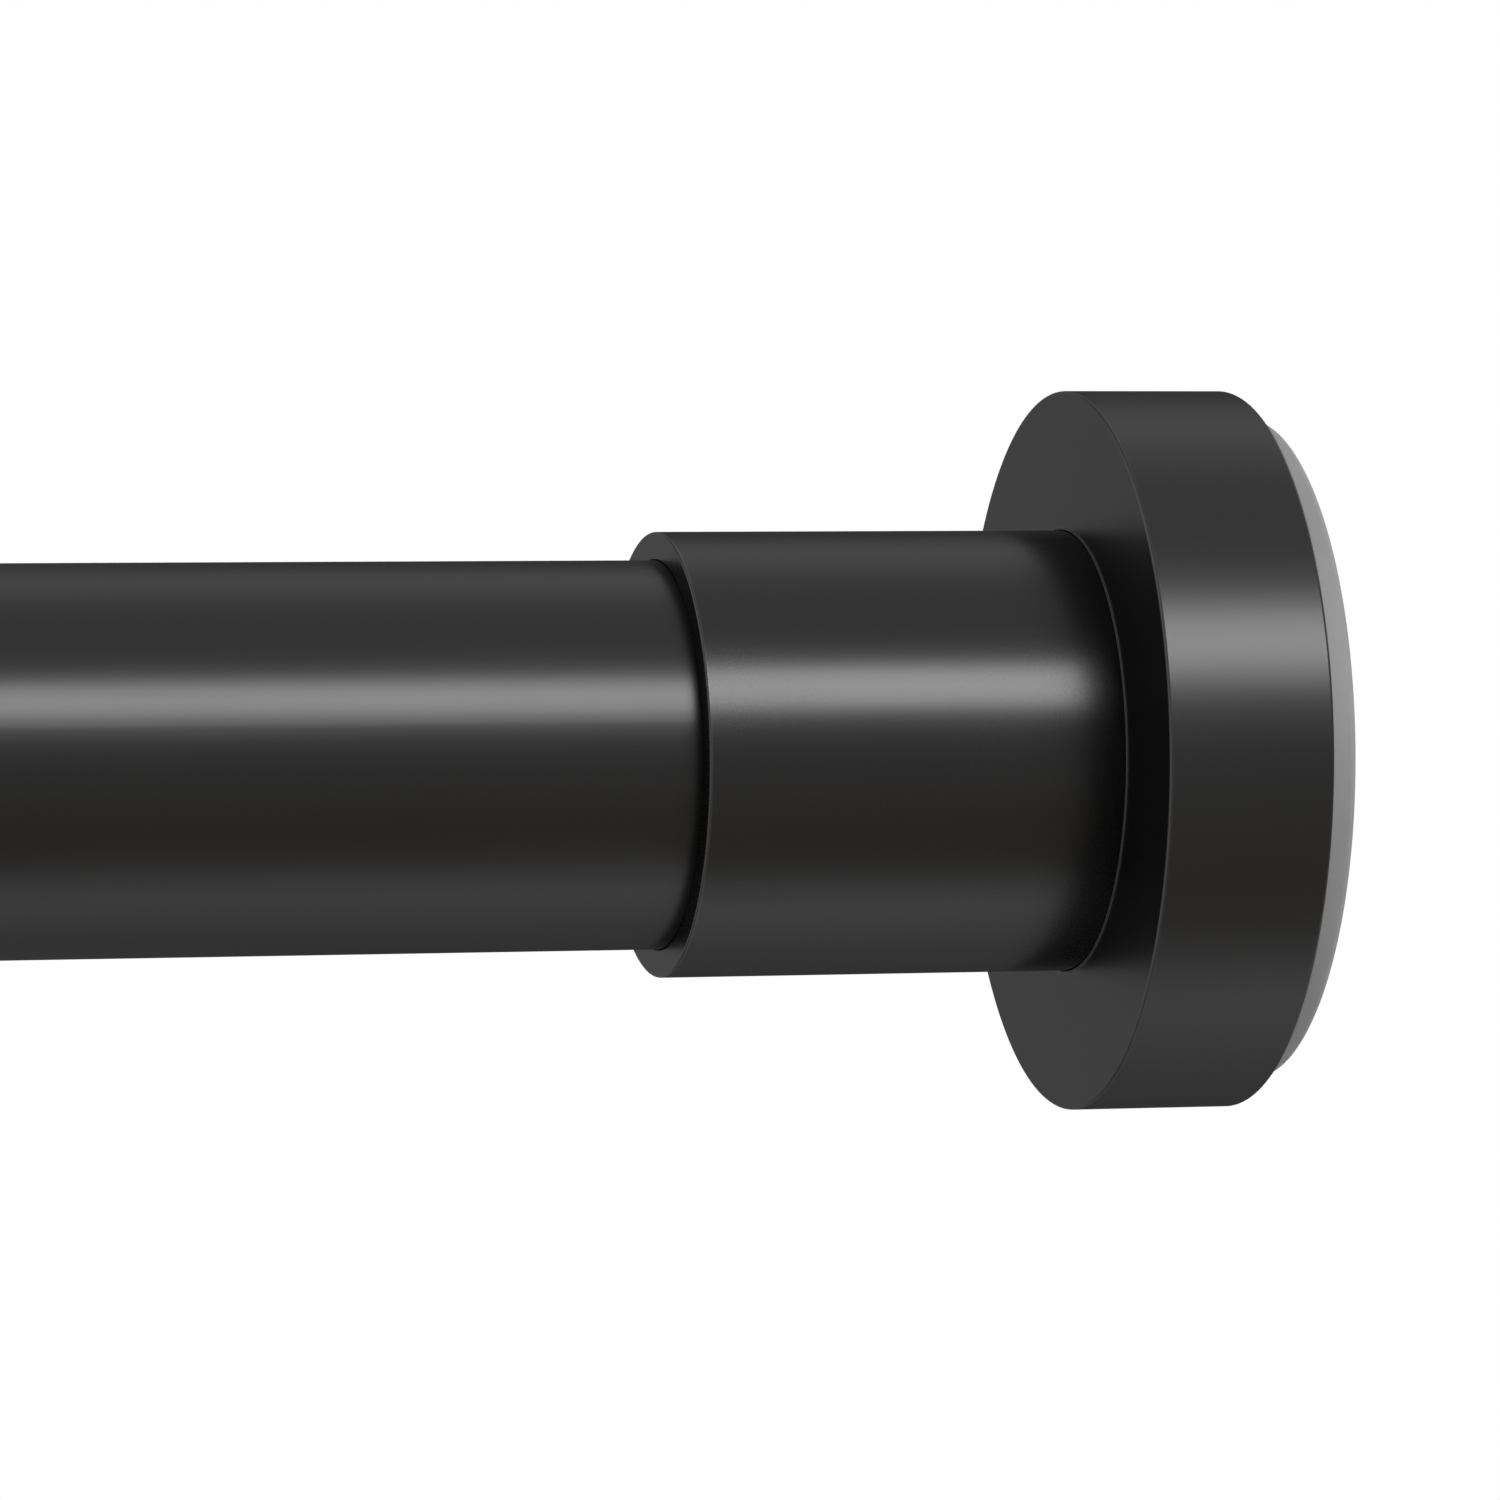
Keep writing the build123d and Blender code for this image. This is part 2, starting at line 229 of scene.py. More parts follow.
def light_ramp(tree, fac, stops):
    """A light that follows a factor through stops of (factor, level, warmth)."""
    ramp = tree.nodes.new("ShaderNodeValToRGB")
    while len(ramp.color_ramp.elements) < len(stops):
        ramp.color_ramp.elements.new(0.5)
    for element, (position, level, warmth) in zip(ramp.color_ramp.elements, stops):
        element.position = position
        element.color = (level * (1 + warmth), level, level * (1 - warmth), 1)
    tree.links.new(fac, ramp.inputs["Fac"])
    return ramp.outputs["Color"]


def maths(tree, operation, first, second=0.0):
    """One sum on one or two values, each a socket or a number."""
    node = tree.nodes.new("ShaderNodeMath")
    node.operation = operation
    for socket, value in zip(node.inputs, (first, second)):
        if isinstance(value, float):
            socket.default_value = value
        else:
            tree.links.new(value, socket)
    return node.outputs["Value"]


def product(tree, first, *others):
    """Values multiplied one after another."""
    for value in others:
        first = maths(tree, "MULTIPLY", first, value)
    return first


def diagonal(tree, first, second):
    """The length of the diagonal between two sides."""
    squares = maths(tree, "ADD", product(tree, first, first), product(tree, second, second))
    return maths(tree, "SQRT", squares)


def bump(tree, principled, height, strength, distance_mm):
    """Relief from a height, in millimetres."""
    relief = tree.nodes.new("ShaderNodeBump")
    relief.inputs["Strength"].default_value = strength
    relief.inputs["Distance"].default_value = distance_mm * MM
    tree.links.new(height, relief.inputs["Height"])
    tree.links.new(relief.outputs["Normal"], principled.inputs["Normal"])


def mixed(tree, first, second, share):
    """Two factors mixed, with the second one's share."""
    mix = tree.nodes.new("ShaderNodeMix")
    mix.inputs["Factor"].default_value = share
    tree.links.new(first, mix.inputs["A"])
    tree.links.new(second, mix.inputs["B"])
    return mix.outputs["Result"]


def mixed_colour(tree, fac, first, second):
    """Two colours mixed by a factor: the first is a socket, the second a socket or a colour."""
    mix = tree.nodes.new("ShaderNodeMix")
    mix.data_type = "RGBA"
    tree.links.new(fac, mix.inputs["Factor"])
    tree.links.new(first, mix.inputs[MIX_FIRST])
    if isinstance(second, tuple):
        mix.inputs[MIX_SECOND].default_value = (*second, 1)
    else:
        tree.links.new(second, mix.inputs[MIX_SECOND])
    return mix.outputs[MIX_RESULT]


def soften(principled, weight, depth_mm):
    """Light that passes a little way into the surface."""
    principled.inputs["Subsurface Weight"].default_value = weight
    principled.inputs["Subsurface Radius"].default_value = (1.0, 1.0, 1.0)
    principled.inputs["Subsurface Scale"].default_value = depth_mm * MM


def paint_edge_highlight(tree, colour, edges, core=0.10, reach=0.25):
    """A colour, lighter along round edges of (distance from the rod's end, radius) in millimetres: a painted
    highlight line.
    """
    x, y, z = coordinates(tree, "Object")
    middle = REST_LENGTH / 2 * MM
    from_middle = maths(tree, "ABSOLUTE", maths(tree, "ADD", x, middle))
    radius = diagonal(tree, y, z)
    # Painted highlight: nearness to each edge lightens the base colour there
    edge_highlight = 0.0
    for from_end, edge_r in edges:
        along = maths(tree, "SUBTRACT", from_middle, middle - from_end * MM)
        across = maths(tree, "SUBTRACT", radius, edge_r * MM)
        near = spread(tree, diagonal(tree, along, across), 1.0, 0.0, start=core * MM, end=reach * MM)
        edge_highlight = maths(tree, "MAXIMUM", near, edge_highlight)
    return mixed_colour(tree, edge_highlight, colour, EDGE_HIGHLIGHT_BLACK)


# Materials


def black_metal(name, roughness, edges=()):
    """Satin powder coat: even, with a faint orange peel and a very fine grain, and a painted highlight
    lightening the colour along its edges, where edges are given.
    """
    made, tree, principled = shader(name, BLACK, roughness)
    peel = noise(tree, per_metre=420, detail=1.0)
    grain = noise(tree, per_metre=5200, detail=1.0)
    cloud = noise(tree, per_metre=45, detail=2.0)
    colour = tint(tree, cloud, BLACK_DARK, BLACK_LIGHT)
    # Painted highlight along the given edges
    if edges:
        colour = paint_edge_highlight(tree, colour, edges)
    sheen = spread(tree, mixed(tree, cloud, grain, share=0.5), roughness - 0.012, roughness + 0.012)
    tree.links.new(colour, principled.inputs["Base Color"])
    tree.links.new(sheen, principled.inputs["Roughness"])
    bump(tree, principled, mixed(tree, peel, grain, share=0.25), strength=0.03, distance_mm=0.02)
    return made


def black_plastic():
    """Moulded satin plastic, a little rougher than the coated metal, with a fine spark texture, and a painted
    highlight along the flange's front edge and the bead.
    """
    made, tree, principled = shader("black_plastic", BLACK, roughness=0.31)
    spark = noise(tree, per_metre=3600, detail=2.0, rough=0.6)
    cloud = noise(tree, per_metre=60, detail=2.0)
    # Painted highlight lines along the flange's front edge and the bead round the collar's seat
    front_edge = (-FRONT_X, FLANGE_R)
    bead_edge = (-FRONT_X + BEAD_HEIGHT / 2, BEAD_TOP_R)
    colour = paint_edge_highlight(tree, tint(tree, cloud, BLACK_DARK, BLACK_LIGHT), (front_edge, bead_edge))
    sheen = spread(tree, mixed(tree, cloud, spark, share=0.5), 0.29, 0.33)
    tree.links.new(colour, principled.inputs["Base Color"])
    tree.links.new(sheen, principled.inputs["Roughness"])
    bump(tree, principled, spark, strength=0.10, distance_mm=0.012)
    return made


def grey_silicone():
    """Grey silicone rubber: matt, slightly translucent, with a faint bloom."""
    made, tree, principled = shader("grey_silicone", (0.31, 0.31, 0.315), roughness=0.55, specular=0.4)
    cloud = noise(tree, per_metre=160, detail=4.0, rough=0.6)
    skin = noise(tree, per_metre=2600, detail=2.0)
    colour = tint(tree, cloud, dark=(0.290, 0.290, 0.295), light=(0.330, 0.330, 0.335))
    tree.links.new(colour, principled.inputs["Base Color"])
    tree.links.new(spread(tree, cloud, 0.50, 0.60), principled.inputs["Roughness"])
    soften(principled, weight=0.25, depth_mm=0.8)
    bump(tree, principled, skin, strength=0.15, distance_mm=0.015)
    return made


def white_plastic():
    """Natural white acetal, as moulded: faint flow lines and a soft sheen."""
    made, tree, principled = shader("white_plastic", (0.80, 0.80, 0.77), roughness=0.42)
    flow = noise(tree, per_metre=90, detail=4.0, stretch=(0.25, 1, 1))
    skin = noise(tree, per_metre=2400, detail=2.0)
    colour = tint(tree, flow, dark=(0.77, 0.77, 0.735), light=(0.82, 0.82, 0.79))
    tree.links.new(colour, principled.inputs["Base Color"])
    tree.links.new(spread(tree, flow, 0.37, 0.47), principled.inputs["Roughness"])
    soften(principled, weight=0.1, depth_mm=0.6)
    bump(tree, principled, mixed(tree, flow, skin, share=0.4), strength=0.12, distance_mm=0.02)
    return made


def zinc_steel():
    """Bright zinc plate over steel, with a fine patchy grain."""
    made, tree, principled = shader("zinc_steel", (0.60, 0.61, 0.63), roughness=0.30, metallic=1.0)
    patch = noise(tree, per_metre=900, detail=4.0, rough=0.65)
    fine = noise(tree, per_metre=6000, detail=1.0)
    colour = tint(tree, patch, dark=(0.54, 0.555, 0.58), light=(0.66, 0.665, 0.675))
    tree.links.new(colour, principled.inputs["Base Color"])
    tree.links.new(spread(tree, patch, 0.24, 0.38), principled.inputs["Roughness"])
    bump(tree, principled, mixed(tree, patch, fine, share=0.5), strength=0.10, distance_mm=0.01)
    return made


def spring_steel():
    """Oiled spring wire: darker steel with drawing marks."""
    made, tree, principled = shader("spring_steel", (0.36, 0.355, 0.345), roughness=0.32, metallic=1.0)
    patch = noise(tree, per_metre=500, detail=4.0, rough=0.6)
    fine = noise(tree, per_metre=5000, detail=2.0)
    colour = tint(tree, patch, dark=(0.29, 0.285, 0.275), light=(0.42, 0.415, 0.405))
    sheen = spread(tree, mixed(tree, patch, fine, share=0.5), 0.26, 0.40)
    tree.links.new(colour, principled.inputs["Base Color"])
    tree.links.new(sheen, principled.inputs["Roughness"])
    bump(tree, principled, fine, strength=0.12, distance_mm=0.01)
    return made


MATERIALS = {
    "black_metal": black_metal("black_metal", roughness=0.29),
    "black_plastic": black_plastic(),
    "grey_silicone": grey_silicone(),
    "white_plastic": white_plastic(),
    "zinc_steel": zinc_steel(),
    "spring_steel": spring_steel(),
}
# The collar's coat: a little glossier, with a painted highlight along its mouth's outer edge
COLLAR_COAT = black_metal("black_collar", roughness=0.27, edges=((-COLLAR_END_X, COLLAR_R),))
SLOT_OF = {part["node"]: part["material_slot"] for part in frame["record"]["subparts"]}
BODY_OF = {node: body for body, nodes in frame["record"]["behaviour"]["bodies"].items() for node in nodes}

for node, carried in frame["nodes"].items():
    carried.data.materials.clear()
    carried.data.materials.append(MATERIALS[SLOT_OF[node]])


# Sections: each gives a form's radius in millimetres from its place along the rod and its angle round it


def plain(radius):
    """A round section."""
    return lambda x, angle: radius


def six(half_flats, corner_cut=0.04):
    """A hexagonal section with slightly rounded corners, one of them on the Y axis."""
    most = half_flats * (2 / math.sqrt(3) - corner_cut)
    side = TAU / 6

    def reach(x, angle):
        return min(half_flats / math.cos(angle % side - side / 2), most)

    return reach


def thread(pitch, minor, major, grow=0.0, root=0.30, flank=0.34):
    """A right-hand trapezoidal thread along X, with the shares of its pitch that root and flanks take."""

    def reach(x, angle):
        phase = (x / pitch - angle / TAU) % 1.0
        away = abs(phase - 0.5) * 2
        share = min(max((away - root) / flank, 0.0), 1.0)
        return minor + (major - minor) * share + grow

    return reach


def cone(x0, r0, x1, r1):
    """A section whose radius runs from r0 at x0 to r1 at x1."""
    return lambda x, angle: r0 + (r1 - r0) * (x - x0) / (x1 - x0)


def smaller(first, second):
    """The smaller of two sections."""
    return lambda x, angle: min(first(x, angle), second(x, angle))


def larger(first, second):
    """The larger of two sections."""
    return lambda x, angle: max(first(x, angle), second(x, angle))


# Mesh making


def piece(node, bm, sharp_deg=32):
    """A mesh that stands for a CAD node: it takes the node's name, body and finish."""
    bmesh.ops.recalc_face_normals(bm, faces=bm.faces)
    mesh = bpy.data.meshes.new(node + "_made")
    bm.to_mesh(mesh)
    bm.free()
    mesh.shade_smooth()
    mesh.set_sharp_from_angle(angle=math.radians(sharp_deg))
    made = bpy.data.objects.new(node + "_made", mesh)
    bpy.context.scene.collection.objects.link(made)
    made.data.materials.append(MATERIALS[SLOT_OF[node]])
    weighted = made.modifiers.new("weighted", "WEIGHTED_NORMAL")
    weighted.keep_sharp = True
    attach(made, BODY_OF[node])
    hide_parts(node)
    return made


def span(node):
    """The lowest and highest x of a CAD node, in millimetres."""
    low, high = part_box(node)
    return low.x / MM, high.x / MM


def add_ring(bm, x, section, segments):
    """A ring of points round the X axis, in millimetres."""
    ring = []
    for step in range(segments):
        angle = TAU * step / segments
        radius = section(x, angle)
        ring.append(bm.verts.new((x * MM, radius * math.cos(angle) * MM, radius * math.sin(angle) * MM)))
    return ring


def join_rings(bm, first, second):
    """Faces between two rings."""
    count = len(first)
    for i in range(count):
        j = (i + 1) % count
        bm.faces.new((first[i], first[j], second[j], second[i]))


def cap(bm, ring, x):
    """A flat end over a ring."""
    middle = bm.verts.new((x * MM, 0, 0))
    count = len(ring)
    for i in range(count):
        bm.faces.new((ring[i], ring[(i + 1) % count], middle))


def turned(bm, stations, segments, closed=True):
    """A turned form through stations of (x, section). It closes on itself or ends in two flat caps."""
    rings = [add_ring(bm, x, section, segments) for x, section in stations]
    for first, second in zip(rings, rings[1:]):
        join_rings(bm, first, second)
    if closed:
        join_rings(bm, rings[-1], rings[0])
    else:
        cap(bm, rings[0], stations[0][0])
        cap(bm, rings[-1], stations[-1][0])


def rounded(corners, steps=5):
    """Stations round a closed outline of (x, r, fillet) in millimetres, with an arc at each filleted corner.

    A corner's section is round, or of the kind that it names as its fourth value.
    """
    stations = []
    for index, (x, r, fillet, *kind) in enumerate(corners):
        make = kind[0] if kind else plain
        if not fillet:
            stations.append((x, make(r)))
            continue
        here = Vector((x, r))
        back = (Vector(corners[index - 1][:2]) - here).normalized()
        ahead = (Vector(corners[(index + 1) % len(corners)][:2]) - here).normalized()
        half = back.angle(ahead) / 2
        centre = here + (back + ahead).normalized() * (fillet / math.sin(half))
        start = here + back * (fillet / math.tan(half)) - centre
        end = here + ahead * (fillet / math.tan(half)) - centre
        first = math.atan2(start.y, start.x)
        swing = (math.atan2(end.y, end.x) - first + math.pi) % TAU - math.pi
        for step in range(steps + 1):
            turn = first + swing * step / steps
            stations.append((centre.x + fillet * math.cos(turn), make(centre.y + fillet * math.sin(turn))))
    return stations


def facing(x, end):
    """A place on the photographed end, moved to the same place on the end that is named."""
    return x if end == "outer" else -REST_LENGTH - x


def at_end(outline, end):
    """An outline on the photographed end, moved to the end that is named."""
    return [(facing(x, end), *others) for x, *others in outline]


def bar_between(bm, corners):
    """A closed block from its eight corners in millimetres: the lower four, then the upper four."""
    verts = [bm.verts.new([value * MM for value in corner]) for corner in corners]
    for face in ((0, 1, 2, 3), (4, 5, 6, 7), (0, 1, 5, 4), (1, 2, 6, 5), (2, 3, 7, 6), (3, 0, 4, 7)):
        bm.faces.new([verts[i] for i in face])
    return verts


# Flange moulding: a cup with a rounded rim, a hexagonal hub with a keyed seat, and tapered ribs
def make_flange(node, end, ribs=6, rib_edge=0.15):
    bm = bmesh.new()
    outline = [
        (RIM_X, FLANGE_R, 0.25),
        (FRONT_X, FLANGE_R, 0.20),
        (FRONT_X, BEAD_FOOT_R, 0.03),
        (BEAD_TOP_X, BEAD_TOP_R, 0.05),
        (BEAD_TOP_X, SEAT_R, 0.03),
        (SEAT_X, SEAT_R, 0.0),
        (SEAT_X, KEY_HALF_FLATS, 0.15, six),
        (KEY_FLOOR_X, KEY_HALF_FLATS, 0.0, six),
        (KEY_FLOOR_X, HUB_HOLE_R, 0.15),
        (HUB_BORE_FLOOR_X, HUB_HOLE_R, 0.15),
        (HUB_BORE_FLOOR_X, HUB_BORE_HALF_FLATS, 0.3, six),
        (HUB_TOP_X, HUB_BORE_HALF_FLATS, 0.2, six),
        (HUB_TOP_X, HUB_HALF_FLATS, 0.2, six),
        (CUP_FLOOR_X, HUB_HALF_FLATS, 0.6, six),
        (CUP_FLOOR_X, CUP_R, 0.6),
        (RIM_X, CUP_R, 0.2),
    ]
    turned(bm, rounded(at_end(outline, end)), MOULDED_SEGMENTS)
    levels = ((facing(RIB_FOOT_X, end), RIB_FOOT_HALF), (facing(HUB_TOP_X, end), RIB_TOP_HALF))
    for rib in range(ribs):
        angle = TAU * rib / ribs
        out = Vector((math.cos(angle), math.sin(angle)))
        side = Vector((-math.sin(angle), math.cos(angle)))
        corners = []
        for x, half in levels:
            for reach, sign in ((RIB_INNER_R, -1), (RIB_OUTER_R, -1), (RIB_OUTER_R, 1), (RIB_INNER_R, 1)):
                spot = out * reach + side * half * sign
                corners.append((x, spot.x, spot.y))
        verts = bar_between(bm, corners)
        edges = {edge for vert in verts for edge in vert.link_edges}
        bmesh.ops.bevel(bm, geom=list(edges), offset=rib_edge * MM, segments=2, affect="EDGES")
    piece(node, bm)


make_flange("outer_flange", "outer")
make_flange("inner_flange", "inner")


# Silicone pad: soft edges, grip rings and a small dish on the wall face, and a shallow relief behind
def make_pad(node, end):
    foot_r, relief_x, relief_r = 10.6, -3.2, 10.3
    axis_r, dish_x, dish_floor_r, dish_r = 1.5, -0.5, 3.2, 3.6
    grip_radii = (6.0, 9.5, 13.0, 16.5, 19.8)
    grip_x, grip_half, grip_floor_half = -0.35, 0.45, 0.30
    outline = [
        (WALL_X, PAD_R, 0.45),
        (HUB_TOP_X, PAD_R, 0.35),
        (HUB_TOP_X, foot_r, 0.3),
        (relief_x, relief_r, 0.3),
        (relief_x, axis_r, 0.0),
        (dish_x, axis_r, 0.0),
        (dish_x, dish_floor_r, 0.25),
        (WALL_X, dish_r, 0.15),
    ]
    for radius in grip_radii:
        outline += [
            (WALL_X, radius - grip_half, 0.12),
            (grip_x, radius - grip_floor_half, 0.1),
            (grip_x, radius + grip_floor_half, 0.1),
            (WALL_X, radius + grip_half, 0.12),
        ]
    bm = bmesh.new()
    stations = rounded(at_end(outline, end), steps=4)
    rings = [add_ring(bm, x, section, MOULDED_SEGMENTS) for x, section in stations]
    axis_gap = next(i for i, (x, section) in enumerate(stations) if section(x, 0) == axis_r)
    for i, (first, second) in enumerate(zip(rings, rings[1:] + rings[:1])):
        if i != axis_gap:
            join_rings(bm, first, second)
    cap(bm, rings[axis_gap], stations[axis_gap][0])
    cap(bm, rings[axis_gap + 1], stations[axis_gap + 1][0])
    piece(node, bm, sharp_deg=40)


make_pad("outer_pad", "outer")
make_pad("inner_pad", "inner")


# Collars: drawn sleeves with broken edges, the far one with a lip at its mouth
def make_collar(node, end, mouth_r):
    outline = [
        (SEAT_X, COLLAR_R, 0.15),
        (COLLAR_END_X, COLLAR_R, 0.14),
        (COLLAR_END_X, mouth_r, 0.06),
    ]
    if mouth_r < COLLAR_BORE_R:
        lip_x = COLLAR_END_X + COLLAR_LIP_LENGTH
        outline += [(lip_x, mouth_r, 0.15), (lip_x, COLLAR_BORE_R, 0.3)]
    outline.append((SEAT_X, COLLAR_BORE_R, 0.15))
    bm = bmesh.new()
    turned(bm, rounded(at_end(outline, end)), DRAWN_SEGMENTS)
    piece(node, bm).data.materials[0] = COLLAR_COAT


make_collar("outer_collar", "outer", COLLAR_BORE_R)
make_collar("inner_collar", "inner", COLLAR_LIP_R)


# Tubes: smooth skins, with two notches at each plugged end that key the plug
def make_tube(node, outer_r, bore_r, far_notches):
    far_x, near_x = span(node)
    stops = [near_x, near_x - NOTCH_DEPTH, far_x + NOTCH_DEPTH, far_x]
    notch_turn = math.asin(NOTCH_HALF / outer_r)
    exact = [notch_turn, math.pi - notch_turn, math.pi + notch_turn, TAU - notch_turn]
    even = [TAU * step / DRAWN_SEGMENTS for step in range(DRAWN_SEGMENTS)]
    least_gap = 0.3 * TAU / DRAWN_SEGMENTS
    angles = sorted([a for a in even if min(abs(a - e) for e in exact) > least_gap] + exact)
    count = len(angles)
    bm = bmesh.new()

    def ring(x, radius):
        return [bm.verts.new((x * MM, radius * math.cos(a) * MM, radius * math.sin(a) * MM)) for a in angles]

    def in_notch(angle):
        turn = angle % math.pi
        return min(turn, math.pi - turn) < notch_turn

    outer, inner = [[ring(x, radius) for x in stops] for radius in (outer_r, bore_r)]
    near, middle, far = bands = range(3)
    present = {}
    for i in range(count):
        following = angles[i + 1] if i < count - 1 else angles[0] + TAU
        cut = in_notch((angles[i] + following) / 2)
        present[near, i] = not cut
        present[middle, i] = True
        present[far, i] = not (cut and far_notches)
    for band in bands:
        for i in range(count):
            if not present[band, i]:
                continue
            j = (i + 1) % count
            for skin in (outer, inner):
                bm.faces.new((skin[band][i], skin[band][j], skin[band + 1][j], skin[band + 1][i]))
            if not present.get((band - 1, i), False):
                bm.faces.new((outer[band][i], outer[band][j], inner[band][j], inner[band][i]))
            if not present.get((band + 1, i), False):
                bm.faces.new((outer[band + 1][i], outer[band + 1][j], inner[band + 1][j], inner[band + 1][i]))
            if not present[band, (i - 1) % count]:
                bm.faces.new((outer[band][i], outer[band + 1][i], inner[band + 1][i], inner[band][i]))
            if not present[band, j]:
                bm.faces.new((outer[band][j], outer[band + 1][j], inner[band + 1][j], inner[band][j]))
    bmesh.ops.delete(bm, geom=[v for v in bm.verts if not v.link_faces], context="VERTS")
    piece(node, bm)


make_tube("outer_tube", TUBE_R, TUBE_BORE_R, far_notches=False)
make_tube("inner_tube", THIN_R, THIN_BORE_R, far_notches=True)


# Bush on the thick tube's mouth: a rounded lip and a lead-in inside its sleeve
def make_mouth_bush():
    low_x, high_x = span("mouth_bush")
    lip_x, taper_x = low_x + 1.5, high_x - 1.0
    lip_r, bore_r = TUBE_R + 0.5, THIN_R + 0.15
    sleeve_r, tip_r = TUBE_BORE_R - 0.05, TUBE_BORE_R - 0.35
    outline = [
        (low_x, bore_r, 0.25),
        (low_x, lip_r, 0.5),
        (lip_x, lip_r, 0.2),
        (lip_x, sleeve_r, 0.0),
        (taper_x, sleeve_r, 0.4),
        (high_x, tip_r, 0.1),
        (high_x, bore_r, 0.15),
    ]
    bm = bmesh.new()
    turned(bm, rounded(outline), MOULDED_SEGMENTS)
    piece("mouth_bush", bm)


make_mouth_bush()


# Spring: round wire with a closed coil at each end, ground flat where it bears
def make_spring():
    per_turn, around, turns = 48, 16, 7
    open_coils = turns - 2
    closed_pitch = 2.1
    end_gap = 0.95
    open_pitch = (SPRING_SEAT_X - PLUNGER_X - 2 * closed_pitch - 2 * end_gap) / open_coils
    bm = bmesh.new()
    rings = []
    for step in range(per_turn * turns + 1):
        turn = step / per_turn
        open_turns = min(max(turn - 1, 0), open_coils)
        x = SPRING_SEAT_X - end_gap - closed_pitch * (turn - open_turns) - open_pitch * open_turns
        angle = -TAU * turn
        out = Vector((0, math.cos(angle), math.sin(angle)))
        ring = []
        for part in range(around):
            bend = TAU * part / around
            across = out * (COIL_R + WIRE_R * math.cos(bend))
            spot = Vector((x, 0, 0)) + across + Vector((WIRE_R * math.sin(bend), 0, 0))
            spot.x = min(max(spot.x, PLUNGER_X), SPRING_SEAT_X)
            ring.append(bm.verts.new(spot * MM))
        rings.append(ring)
    for first, second in zip(rings, rings[1:]):
        join_rings(bm, first, second)
    bm.faces.new(rings[0])
    bm.faces.new(rings[-1])
    spring = piece("tension_spring", bm, sharp_deg=50)
    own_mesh(spring)


make_spring()


# Drive screw: its coarse thread with tapered ends, and the chamfered hexagonal tenon
def make_drive_screw():
    low_x, high_x = span("drive_screw")
    chamfer, chamfer_r = 0.5, 3.9
    taper, taper_r = 1.2, 4.7
    tenon = six(TENON_HALF_FLATS)
    head = cone(SHOULDER_X, taper_r, SHOULDER_X - taper, THREAD_MAJOR_R)
    tip = cone(low_x, taper_r, low_x + taper, THREAD_MAJOR_R)
    section = smaller(thread(THREAD_PITCH, THREAD_MINOR_R, THREAD_MAJOR_R), smaller(head, tip))
    stations = [(high_x, smaller(tenon, plain(chamfer_r))), (high_x - chamfer, tenon), (SHOULDER_X, tenon)]
    steps = int(round((SHOULDER_X - low_x) / (THREAD_PITCH / 10)))
    for step in range(steps + 1):
        stations.append((SHOULDER_X + (low_x - SHOULDER_X) * step / steps, section))
    bm = bmesh.new()
    turned(bm, stations, THREAD_SEGMENTS, closed=False)
    piece("drive_screw", bm, sharp_deg=35)


make_drive_screw()


# Nut: hexagonal head and body with the matching thread inside, and the two dogs
def make_travel_nut():
    low_x, high_x = span("travel_nut")
    head_x = high_x - NUT_HEAD_LENGTH
    head = six(NUT_HEAD_CORNER_R * FLATS_SHARE, corner_cut=0.02)
    body = six(NUT_BODY_CORNER_R * FLATS_SHARE, corner_cut=0.02)
    chamfer, head_chamfer_r, body_chamfer_r = 0.8, 10.6, 9.3
    flare_r = 6.4
    dog_inner_r, dog_outer_r = 8.0, 11.0
    bore = thread(THREAD_PITCH, THREAD_MINOR_R, THREAD_MAJOR_R, grow=0.1)
    stations = [
        (high_x, smaller(head, plain(head_chamfer_r))),
        (high_x - chamfer, head),
        (head_x, head),
        (head_x, body),
        (low_x + chamfer, body),
        (low_x, smaller(body, plain(body_chamfer_r))),
    ]
    steps = 60
    for step in range(steps + 1):
        x = low_x + (high_x - low_x) * step / steps
        from_end = min(step, steps - step) / steps * (high_x - low_x)
        stations.append((x, larger(bore, plain(flare_r - from_end))))
    bm = bmesh.new()
    turned(bm, stations, NUT_SEGMENTS)
    for sign in (-1, 1):
        block = []
        for x in (head_x, head_x - DOG_LENGTH):
            for reach, side in ((dog_inner_r, -1), (dog_outer_r, -1), (dog_outer_r, 1), (dog_inner_r, 1)):
                block.append((x, sign * reach, side * DOG_HALF))
        bar_between(bm, block)
    piece("travel_nut", bm, sharp_deg=35)


make_travel_nut()


# Screws: a chamfered hexagonal head with a washer face, and a fine thread with a blunt point
def make_screw(node, head_side):
    low_x, high_x = span(node)
    top_x = high_x if head_side > 0 else low_x
    head, head_r, head_top_r, head_chamfer = six(3.5), 3.9, 3.15, 0.35
    head_height, face_r, face_height = 2.2, 3.3, 0.2
    shank_r, thread_from, thread_length = 2.0, 3.0, 11.4
    point_r, point_length = 1.4, 0.8
    tip = thread_from + thread_length

    def at(distance):
        return top_x - head_side * distance

    stations = [
        (at(0.0), plain(head_top_r)),
        (at(head_chamfer), smaller(head, plain(head_r))),
        (at(head_height), head),
        (at(head_height), plain(face_r)),
        (at(head_height + face_height), plain(face_r)),
        (at(head_height + face_height), plain(shank_r)),
        (at(thread_from), plain(shank_r)),
    ]
    point = cone(at(tip - point_length), shank_r, at(tip), point_r)
    section = smaller(thread(pitch=0.7, minor=1.62, major=shank_r), smaller(plain(shank_r), point))
    steps = 110
    for step in range(steps + 1):
        stations.append((at(thread_from + thread_length * step / steps), section))
    bm = bmesh.new()
    turned(bm, stations, SCREW_SEGMENTS, closed=False)
    piece(node, bm, sharp_deg=35)


make_screw("outer_end_screw", 1)
make_screw("stop_bolt", -1)
make_screw("anchor_bolt", 1)
make_screw("tip_bolt", -1)
make_screw("inner_end_screw", -1)


